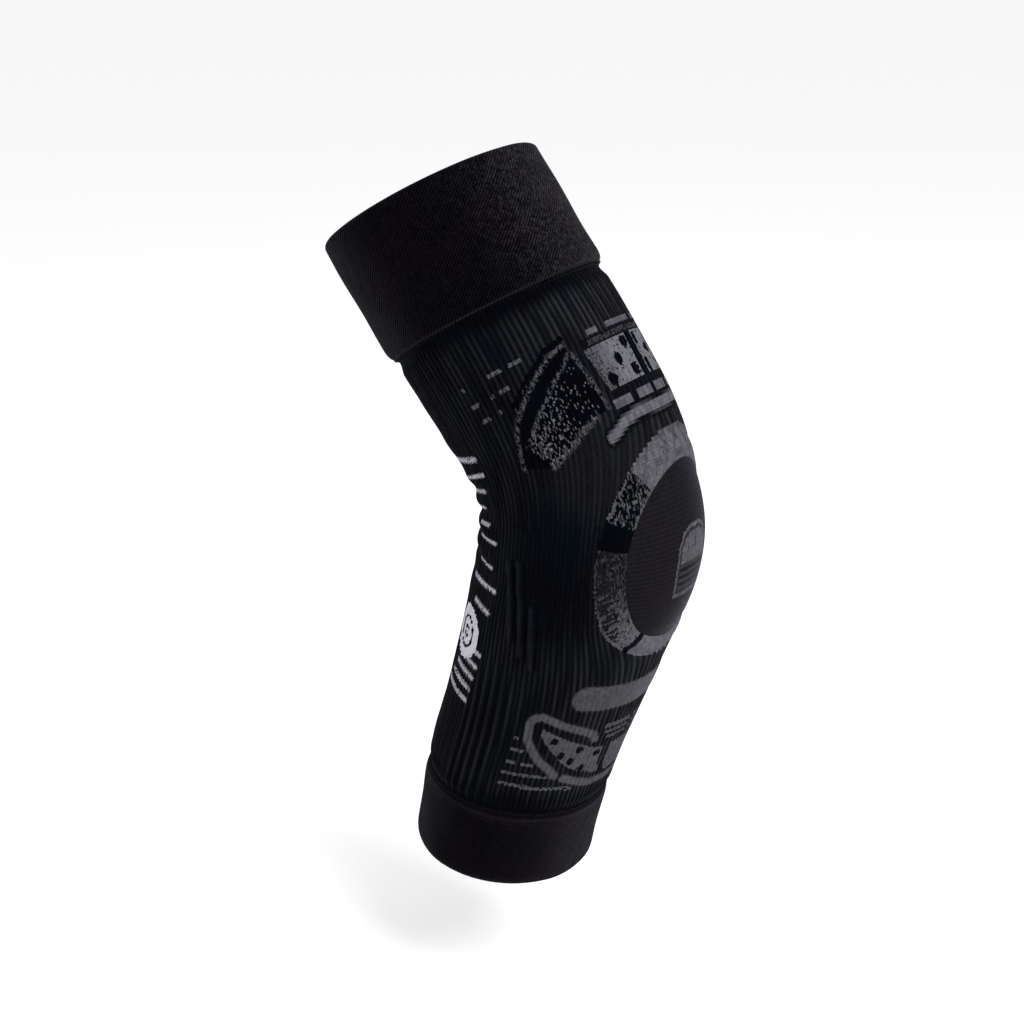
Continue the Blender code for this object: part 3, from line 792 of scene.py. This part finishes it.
def cuff_profile(seam, edge, flare, roll):
    """Folded welt: outer wall rounded at the seam, round fold at the edge, inner wall and pocket."""
    away = 1.0 if edge > seam else -1.0
    turn = edge - away * roll
    outer = []
    for station in along_steps(seam, turn, STITCH_HEIGHT / 1000.0):
        rise = min(1.0, abs(station - seam) / 0.0060)
        short = 1.0 - math.sqrt(1.0 - (1.0 - rise) ** 2)
        outer.append((station, flare - (flare + 0.0009) * short ** 1.2))
    fold = []
    for index in range(1, 12):
        angle = math.pi * index / 12
        fold.append((turn + away * roll * math.sin(angle), flare - POCKET / 2 + POCKET / 2 * math.cos(angle)))
    inner = [(station, flare - POCKET) for station in along_steps(turn, seam, 0.0032)]
    back = [(station, flare - POCKET + CUFF_WALL) for station in along_steps(seam, turn, 0.006)]
    front = [(station, flare - CUFF_WALL - 0.0002) for station in along_steps(turn, seam, 0.006)]
    return outer + fold + inner + back + front


def cuff_relief(phi, t):
    """Faint slanting knit lines and slow unevenness of a stretched cuff."""
    a = np.radians(phi)
    twill = np.sin((phi * MM_PER_DEGREE / TWILL_WIDE - t / TWILL_HIGH) * math.tau)
    return 0.00005 * twill + 0.00030 * rolling(phi, t, 2.1) + 0.00012 * np.sin(9 * a + t * 0.2)


def plain(phi, t):
    return 0.012 * stitch_noise(phi, t, 5.0, 1.5, 1.6)


def cuff_yarn_and_painted_light(phi, t):
    """Flecked ground with faint rows where the lower cuff is joined. Painted light lightens the upper cuff
    towards the elbow point, and a painted highlight runs along the lower cuff's top rim.
    """
    faint = stitch_noise(phi, t, 6.0, 2.4, 5.0)
    row = (np.abs(t + 131.5) < 0.6) & (faint > 0.5)
    # Painted light: the upper cuff is made lighter towards the elbow point, where the right panel's light
    # falls.
    painted_light_gain = 0.35 + 2.3 * ease((58.0 - np.abs(phi)) / 50.0) * (t > 0.0)
    shade = 0.014 * stitch_noise(phi, t, 5.0, 0.75, 0.8) ** 2
    shade = shade + 0.008 * stitch_noise(phi, t, 7.0, 2.2, 1.6) ** 2
    # Painted highlight: a light line along the rounded top rim of the lower cuff.
    shade = shade * painted_light_gain + 0.018 * np.exp(-((t + 129.6) / 0.8) ** 2)
    return np.where(row, 0.006 + 0.020 * (faint - 0.5), shade)


cuff_material = knit_material(
    "cuff_knit", (0.0010, 0.0008, 0.0018, 1.0), (0.34, 0.335, 0.38, 1.0), (0.0026, 0.0008, 0.0022, 1.0),
    wale=0.75, course=0.7, twill=0.6, shine=0.050, bump=0.6,
)
upper_welt = cuff_profile(UPPER_SEAM + SEAM_WIDTH - 0.0007, TOP_EDGE, UPPER_CUFF_FLARE, UPPER_ROLL)
upper_cuff = lay_on_sleeve(
    "upper_cuff_welt", carry_round(upper_welt, CUFF_STEPS),
    relief=cuff_relief, outer_above=UPPER_CUFF_FLARE - CUFF_WALL, chart=cuff_yarn_and_painted_light,
)
lower_welt = cuff_profile(LOWER_SEAM + 0.0002, BOTTOM_EDGE, LOWER_CUFF_FLARE, LOWER_ROLL)
lower_cuff = lay_on_sleeve(
    "lower_cuff_welt", carry_round(lower_welt, CUFF_STEPS),
    relief=cuff_relief, outer_above=LOWER_CUFF_FLARE - CUFF_WALL, chart=cuff_yarn_and_painted_light,
)
for item, node in ((upper_cuff, "upper_cuff"), (lower_cuff, "lower_cuff")):
    item.data.materials.append(cuff_material)
    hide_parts(node)
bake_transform(lower_cuff)
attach(upper_cuff, "upper_arm")

# ----------------------------------------
# Linking seams: a row of tight chain stitches in black polyamide thread, sunk between the cuff
# and the sleeve, one at each end.
SEAM_STEPS = 900
CHAIN_PITCH = 2.0


def seam_profile(low):
    """Round thread row a little under the surface of the sleeve."""
    points = []
    for index in range(10):
        angle = math.tau * index / 10
        points.append((low + SEAM_WIDTH / 2 + math.cos(angle) * SEAM_WIDTH * 0.62,
                       -0.0012 + math.sin(angle) * 0.0008))
    return points


def chain_relief(phi, t):
    """Each stitch of the chain rises and dips, set on a slant."""
    return 0.00022 * np.abs(np.sin((phi * MM_PER_DEGREE / CHAIN_PITCH + t * 0.35) * math.pi))


seam_material = knit_material(
    "seam_thread", (0.0010, 0.0009, 0.0016, 1.0), (0.2, 0.2, 0.2, 1.0), (0.0016, 0.0010, 0.0020, 1.0),
    wale=1.0, course=0.5, twill=0.3, shine=0.04, bump=0.5,
)
for name, low, body, node in (
    ("upper_chain_seam", UPPER_SEAM, "upper_arm", "upper_linking_seam"),
    ("lower_chain_seam", LOWER_SEAM, "forearm", "lower_linking_seam"),
):
    seam = lay_on_sleeve(name, carry_round(seam_profile(low), SEAM_STEPS), chain_relief, -0.0012, plain)
    seam.data.materials.append(seam_material)
    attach(seam, body)
    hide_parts(node)

# ----------------------------------------
# Pad cover: the smooth dome over the elbow point and the ring round it, in areas of different
# knit. Gel and foam under them push each area out between its sunk edges.
PAD_CENTRE = PAD_MIDDLE / 1000.0
RING_HALF_TURN = math.radians(PAD_HALF_TURN)
RING_HALF_HEIGHT = PAD_HALF_HEIGHT / 1000.0
GROOVE = -0.0004
RIM = -0.0010
COVER_STEPS = 180
RING_ROWS = 8
DOME_ROWS = 17
COVER_THICKNESS = 0.0014
PUFF_CAP = 0.0010
PUFF_PRESSURE = 4.0
RING_AREAS = (
    ("ring_top", 53.0, 127.0),
    ("ring_speckle_left", 127.0, 153.0),
    ("ring_block_left", 153.0, 167.0),
    ("ring_rib_left", 167.0, 237.0),
    ("ring_bottom", 237.0, 303.0),
    ("ring_rib_right", 303.0, 373.0),
    ("ring_block_right", 373.0, 387.0),
    ("ring_speckle_right", 387.0, 413.0),
)


def pad_outline():
    """Heights across the pad cover, from its middle to its outer edge."""
    points = []
    for index in range(DOME_ROWS + 1):
        part = index / DOME_ROWS
        points.append((part * RING_INNER, GROOVE + 0.0015 * (1.0 - part ** 2.2)))
    for index in range(1, RING_ROWS + 1):
        part = index / RING_ROWS
        points.append((RING_INNER + (1.0 - RING_INNER) * part,
                       GROOVE + (RIM - GROOVE) * part + 0.0012 * math.sin(math.pi * part) ** 0.8))
    return points


def turned_cover(outline, steps, start):
    """Line of (fraction of the pad, height) points turned once about the pad's middle, full size, flat."""
    bm = bmesh.new()
    angle = math.radians(start)
    verts = [bm.verts.new((f * math.cos(angle), f * math.sin(angle), h)) for f, h in outline]
    edges = [bm.edges.new(pair) for pair in zip(verts[:-1], verts[1:])]
    bmesh.ops.spin(
        bm, geom=edges, cent=(0.0, 0.0, 0.0), axis=(0.0, 0.0, 1.0), dvec=(0.0, 0.0, 0.0),
        angle=math.tau, steps=steps, use_merge=True, use_duplicate=False,
    )
    bmesh.ops.remove_doubles(bm, verts=bm.verts, dist=0.00001)
    for vert in bm.verts:
        vert.co.x *= RING_HALF_TURN * FLAT_RADIUS
        vert.co.y = PAD_CENTRE + vert.co.y * RING_HALF_HEIGHT
    return bm


def puffed(piece, held, cap):
    """Blow a cover up against its held edges with cloth pressure, and keep no more than the cap."""
    rest = places_of(piece.data)
    group = piece.vertex_groups.new(name="held")
    group.add([int(i) for i in np.flatnonzero(held)], 1.0, "REPLACE")
    cloth = piece.modifiers.new("cloth", "CLOTH")
    cloth.settings.quality = 6
    cloth.settings.mass = 0.15
    cloth.settings.tension_stiffness = 30.0
    cloth.settings.compression_stiffness = 30.0
    cloth.settings.shear_stiffness = 12.0
    cloth.settings.bending_stiffness = 0.6
    cloth.settings.use_pressure = True
    cloth.settings.uniform_pressure_force = PUFF_PRESSURE
    cloth.settings.vertex_group_mass = "held"
    cloth.settings.effector_weights.gravity = 0.0
    cloth.collision_settings.use_collision = False
    for number in range(1, 21):
        bpy.context.scene.frame_set(number)
    blown = piece.evaluated_get(bpy.context.evaluated_depsgraph_get())
    moved = places_of(blown.data) - rest
    piece.modifiers.remove(cloth)
    piece.vertex_groups.clear()
    bpy.context.scene.frame_set(1)
    length = np.linalg.norm(moved, axis=1)
    most = float(np.nanmax(length)) if np.isfinite(length).any() else 0.0
    if not np.isfinite(moved).all() or most < 1e-7:
        return
    moved *= cap / max(most, cap)
    put_places(piece.data, rest + moved)


cover_bm = turned_cover(pad_outline(), COVER_STEPS, 1.0)
if sum(face.normal.z for face in cover_bm.faces) < 0.0:
    bmesh.ops.reverse_faces(cover_bm, faces=cover_bm.faces)
flat_mesh = bpy.data.meshes.new("cover_flat")
cover_bm.to_mesh(flat_mesh)
cover_bm.free()
cover_flat = places_of(flat_mesh)
cover = set_down("pad_cover", flat_mesh)
put_places(flat_mesh, sleeve_points(cover_flat[:, 0] / FLAT_RADIUS, cover_flat[:, 1], cover_flat[:, 2]))
flat_mesh.update()
cover_x = cover_flat[:, 0] / (RING_HALF_TURN * FLAT_RADIUS)
cover_y = (cover_flat[:, 1] - PAD_CENTRE) / RING_HALF_HEIGHT
cover_ring = np.hypot(cover_x, cover_y)
cover_angle = np.degrees(np.arctan2(cover_y, cover_x)) % 360.0
held = (cover_ring > 0.995) | (np.abs(cover_ring - RING_INNER) < 0.006)
for _, area_from, _ in RING_AREAS:
    away = np.abs((cover_angle - area_from + 180.0) % 360.0 - 180.0)
    held |= (away < 0.5) & (cover_ring > RING_INNER)
puffed(cover, held, PUFF_CAP)


def cover_part(name, area_from, area_to):
    """Cut one area out of the blown cover, stitch it finer and chart its light yarn."""
    bm = bmesh.new()
    bm.from_mesh(flat_mesh)
    bm.faces.ensure_lookup_table()
    flat_layer = bm.verts.layers.float_vector.new("flat")
    for vert, place in zip(bm.verts, cover_flat):
        vert[flat_layer] = Vector(place)
    drop = []
    for face in bm.faces:
        middle = sum((vert[flat_layer] for vert in face.verts), Vector()) / len(face.verts)
        x = middle.x / (RING_HALF_TURN * FLAT_RADIUS)
        y = (middle.y - PAD_CENTRE) / RING_HALF_HEIGHT
        on_ring = math.hypot(x, y) > RING_INNER
        if area_from is None:
            keep = not on_ring
        else:
            angle = math.degrees(math.atan2(y, x)) % 360.0
            keep = on_ring and (angle - area_from) % 360.0 < area_to - area_from
        if not keep:
            drop.append(face)
    bmesh.ops.delete(bm, geom=drop, context="FACES")
    for _ in range(2):
        bmesh.ops.subdivide_edges(bm, edges=bm.edges[:], cuts=1, use_grid_fill=True, smooth=0.0)
    chart = bm.loops.layers.uv.new("knit_chart")
    phis = []
    stations = []
    for face in bm.faces:
        face.smooth = True
        middle = Vector((0.0, 0.0, 0.0))
        for loop in face.loops:
            flat = loop.vert[flat_layer]
            loop[chart].uv = (flat.x / FULL_TURN + 0.5, (flat.y - CHART_LOW) / CHART_HEIGHT)
            middle += flat
        middle /= len(face.verts)
        phis.append(math.degrees(middle.x / FLAT_RADIUS))
        stations.append(middle.y * 1000.0)
    mesh = bpy.data.meshes.new(name)
    bm.to_mesh(mesh)
    bm.free()
    mesh.attributes.remove(mesh.attributes["flat"])
    shade = yarn_and_painted_light(np.array(phis), np.array(stations))
    mesh.attributes.new("yarn_and_painted_light", "FLOAT", "FACE").data.foreach_set("value", shade.astype(np.float32))
    item = set_down(name, mesh)
    thick = item.modifiers.new("cover thickness", "SOLIDIFY")
    thick.thickness = COVER_THICKNESS
    thick.offset = -1.0
    return item


dome_material = knit_material(
    "dome_knit", (0.0016, 0.0013, 0.0024, 1.0), (0.60, 0.59, 0.67, 1.0), (0.0028, 0.0011, 0.0034, 1.0),
    wale=0.6, course=0.6, twill=0.0, shine=0.10, bump=0.25,
)
dome = cover_part("dome_cover", None, None)
dome.data.materials.append(dome_material)
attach(dome, "elbow")
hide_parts("dome_facing")
for node, area_from, area_to in RING_AREAS:
    part = cover_part(node + "_cover", area_from, area_to)
    part.data.materials.append(sleeve_material)
    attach(part, "elbow")
    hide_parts(node)
bpy.data.objects.remove(cover, do_unlink=True)

# ----------------------------------------
# Bar below the ring: a pill of light knit that lies in the sleeve, a little raised.
# It has a thin filling, and bends with the fabric that it lies in.
BAR_CENTRE = -0.0645
BAR_HALF_HEIGHT = 0.0062
BAR_HALF_TURN = math.radians(51.5)
BAR_ROWS = 16
BAR_COLUMNS = 150
bm = bmesh.new()
bmesh.ops.create_grid(bm, x_segments=BAR_COLUMNS, y_segments=BAR_ROWS, size=1.0)
bar_reach = BAR_HALF_TURN * FLAT_RADIUS
for vert in bm.verts:
    across = vert.co.y
    end = bar_reach - BAR_HALF_HEIGHT + BAR_HALF_HEIGHT * math.sqrt(max(0.0, 1.0 - 0.97 * across * across))
    edge = max(abs(across), (abs(vert.co.x) * bar_reach - (bar_reach - BAR_HALF_HEIGHT)) / BAR_HALF_HEIGHT)
    vert.co.x *= end
    vert.co.y = BAR_CENTRE + across * BAR_HALF_HEIGHT
    vert.co.z = -0.00025 + 0.00075 * math.sqrt(max(0.0, 1.0 - min(1.0, edge) ** 4))
rim = bmesh.ops.extrude_edge_only(bm, edges=[edge for edge in bm.edges if edge.is_boundary])
for vert in rim["geom"]:
    if isinstance(vert, bmesh.types.BMVert):
        vert.co.z -= 0.0011
bar = lay_on_sleeve("bar_knit", bm, None, -1.0, yarn_and_painted_light)
bar.data.materials.append(sleeve_material)
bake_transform(bar)
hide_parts("bar_facing")

# ----------------------------------------
# Inside the pad pocket: a clear gel ring behind the ring, a foam disc behind the dome and a soft
# lining that closes them in on the skin side.
GEL_TOP = -KNIT_THICKNESS - 0.0003
GEL_THICKNESS = 0.0030
FOAM_THICKNESS = 0.0036
LINING_THICKNESS = 0.0009
LINING_TOP = GEL_TOP - FOAM_THICKNESS - 0.0003
LINING_REACH = 1.06
LAYER_STEPS = 144


def ring_section(low, high, top, thickness, corner, count):
    """Closed outline with rounded corners between two fractions of the pad."""
    half_wide = (high - low) / 2
    half_high = thickness / 2
    points = []
    for index in range(count):
        angle = math.tau * (index + 0.5) / count
        x = abs(math.cos(angle)) ** corner * math.copysign(1.0, math.cos(angle))
        z = abs(math.sin(angle)) ** corner * math.copysign(1.0, math.sin(angle))
        points.append(((low + high) / 2 + half_wide * x, top - half_high + half_high * z))
    return points


def pad_layer(name, outline, closed, relief=None):
    """Layer of the pad, turned about its middle and laid on the sleeve."""
    bm = turned_cover(outline + outline[:1] if closed else outline, LAYER_STEPS, 0.0)
    return lay_on_sleeve(name, bm, relief, -1.0, plain)


def plain_material(name, colour, roughness, grain, depth, sheen=0.0, clear=0.0):
    """Moulded or cut material with a fine grain in its colour and surface."""
    material, tree, shader = new_material(name)
    place, _, _ = chart_position(tree)
    spots = noise_on(tree, place, grain, 3.0)
    darker = tuple(channel * 0.6 for channel in colour[:3]) + (1.0,)
    lighter = tuple(min(channel * 1.35, 1.0) for channel in colour[:3]) + (1.0,)
    tree.links.new(blend_colour(tree, spots, darker, lighter), shader.inputs["Base Color"])
    rough = maths(tree, "ADD", maths(tree, "MULTIPLY", spots, 0.25), roughness - 0.12)
    tree.links.new(rough, shader.inputs["Roughness"])
    bump_up(tree, shader, spots, 0.5, depth)
    shader.inputs["Specular IOR Level"].default_value = 0.35
    shader.inputs["Sheen Weight"].default_value = sheen
    shader.inputs["Transmission Weight"].default_value = clear
    return material


gel = pad_layer("gel_pad_ring", ring_section(0.755, 0.975, GEL_TOP, GEL_THICKNESS, 0.55, 20), True)
gel_material = plain_material(
    "clear_gel", (0.30, 0.36, 0.42, 1.0), roughness=0.25, grain=0.5, depth=0.0001, clear=0.6,
)

foam_outline = [(0.0, GEL_TOP)]
for index in range(7):
    angle = math.pi * index / 6
    foam_outline.append((0.62 + 0.08 * math.sin(angle),
                         GEL_TOP - FOAM_THICKNESS / 2 + FOAM_THICKNESS / 2 * math.cos(angle)))
foam_outline.append((0.0, GEL_TOP - FOAM_THICKNESS))
foam = pad_layer("foam_pad_disc", foam_outline, False)
foam_material = plain_material(
    "foam", (0.10, 0.10, 0.11, 1.0), roughness=0.95, grain=1.4, depth=0.0004,
)


def quilting(phi, t):
    """Shallow lines pressed into the lining in a diamond pattern."""
    x = phi * MM_PER_DEGREE
    lines = np.maximum(np.cos((x + t) * math.tau / 9.0), np.cos((x - t) * math.tau / 9.0))
    return 0.00025 * np.clip(lines - 0.6, 0.0, 1.0)


LINING_ROWS = 40
lining_outline = [(fraction, LINING_TOP) for fraction in np.linspace(0.0, 0.985, LINING_ROWS).tolist()]
lining_outline += [(1.02, GEL_TOP - 0.0004), (LINING_REACH, GEL_TOP)]
lining_outline += [(LINING_REACH, GEL_TOP - LINING_THICKNESS), (1.04, GEL_TOP - LINING_THICKNESS - 0.0006)]
skin_side = LINING_TOP - LINING_THICKNESS
lining_outline += [(fraction, skin_side) for fraction in np.linspace(1.005, 0.0, LINING_ROWS).tolist()]
lining = pad_layer("pocket_lining", lining_outline, False, quilting)
lining_material = knit_material(
    "lining_knit", (0.030, 0.030, 0.034, 1.0), (0.2, 0.2, 0.2, 1.0), (0.026, 0.026, 0.032, 1.0),
    wale=0.8, course=0.8, twill=0.0, shine=0.3, bump=0.6,
)
for item, material, slot, node, fill in (
    (gel, gel_material, "gel", "gel_ring", 1.0),
    (foam, foam_material, "foam", "foam_dome", 0.9),
    (lining, lining_material, "lining_knit", "pad_lining", 0.4),
):
    item.data.materials.append(material)
    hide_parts(node)
    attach(item, "elbow")

# ----------------------------------------
# Inside the cuffs: a woven elastic band in each fold, and beads of silicone printed round the skin
# side so that the sleeve stays up.
GRIP_HEIGHT = 0.0008
GRIP_WIDTH = 0.0034
BAND_STEPS = 240


def band_profile(low, high, top, thickness, rows):
    outer = [(low + (high - low) * index / rows, top) for index in range(rows + 1)]
    inner = [(high - (high - low) * index / rows, top - thickness) for index in range(rows + 1)]
    return outer + inner


def elastic_relief(phi, t):
    """Rubber cords show as lengthwise ridges in the band."""
    return 0.00008 * np.cos(t * math.tau / 2.4)


elastic_material = plain_material(
    "woven_elastic", (0.50, 0.49, 0.47, 1.0), roughness=0.75, grain=1.6, depth=0.0001, sheen=0.2,
)
silicone_material = plain_material(
    "grip_silicone", (0.035, 0.035, 0.040, 1.0), roughness=0.35, grain=0.4, depth=0.00005,
)
for name, low, high, flare, body in (
    ("upper_elastic", 0.096, 0.128, UPPER_CUFF_FLARE, "upper_arm"),
    ("lower_elastic", -0.152, -0.132, LOWER_CUFF_FLARE, "forearm"),
):
    profile = band_profile(low, high, flare - CUFF_WALL - 0.0005, ELASTIC_THICKNESS - 0.0002, 24)
    band = lay_on_sleeve(name + "_band", carry_round(profile, BAND_STEPS), elastic_relief, -1.0, plain)
    band.data.materials.append(elastic_material)
    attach(band, body)
    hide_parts(name)


def grip_relief(phi, t):
    """The bead is printed in short pulses, so it thickens and thins."""
    return -0.00018 * (1.0 + np.cos(phi / 6.0 * math.tau)) / 2


for name, station, flare, body in (
    ("upper_grip_1", 0.1010, UPPER_CUFF_FLARE, "upper_arm"),
    ("upper_grip_2", 0.1115, UPPER_CUFF_FLARE, "upper_arm"),
    ("upper_grip_3", 0.1220, UPPER_CUFF_FLARE, "upper_arm"),
    ("lower_grip_1", -0.1470, LOWER_CUFF_FLARE, "forearm"),
    ("lower_grip_2", -0.1380, LOWER_CUFF_FLARE, "forearm"),
):
    top = flare - POCKET - 0.00005
    profile = [(station + GRIP_WIDTH / 2, top), (station - GRIP_WIDTH / 2, top)]
    for index in range(1, 8):
        angle = math.pi * index / 8
        profile.append((station - GRIP_WIDTH / 2 * math.cos(angle), top - GRIP_HEIGHT * math.sin(angle)))
    bead = lay_on_sleeve(name + "_bead", carry_round(profile, BAND_STEPS), grip_relief, -1.0, plain)
    bead.data.materials.append(silicone_material)
    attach(bead, body)
    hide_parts(name)
